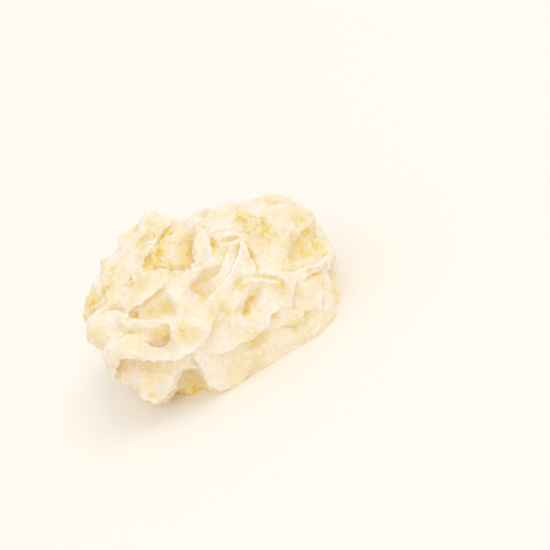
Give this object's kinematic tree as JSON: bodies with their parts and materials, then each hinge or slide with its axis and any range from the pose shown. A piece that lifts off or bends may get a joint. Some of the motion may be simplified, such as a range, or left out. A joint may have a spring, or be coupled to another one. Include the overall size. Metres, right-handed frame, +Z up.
{
  "type": "coconut macaroon",
  "caption": "Baked coconut macaroon: a craggy mound of whipped coconut meringue with swirled folds, hollows and browned crests, on a flat base.",
  "frame": {"origin": "on the underside of the flat base, under the middle of the outline", "axes": "+Z up from the flat base, +X along the longest side, -Y towards the side that the picture shows"},
  "size_m": [0.0706, 0.0604, 0.0404],
  "materials": {
    "baked_meringue": "dry, matte, pale cream coconut meringue, toasted golden on the crests and in the hollows"
  },
  "bodies": {
    "root": {"macaroon": "baked_meringue"}
  },
  "joints": []
}
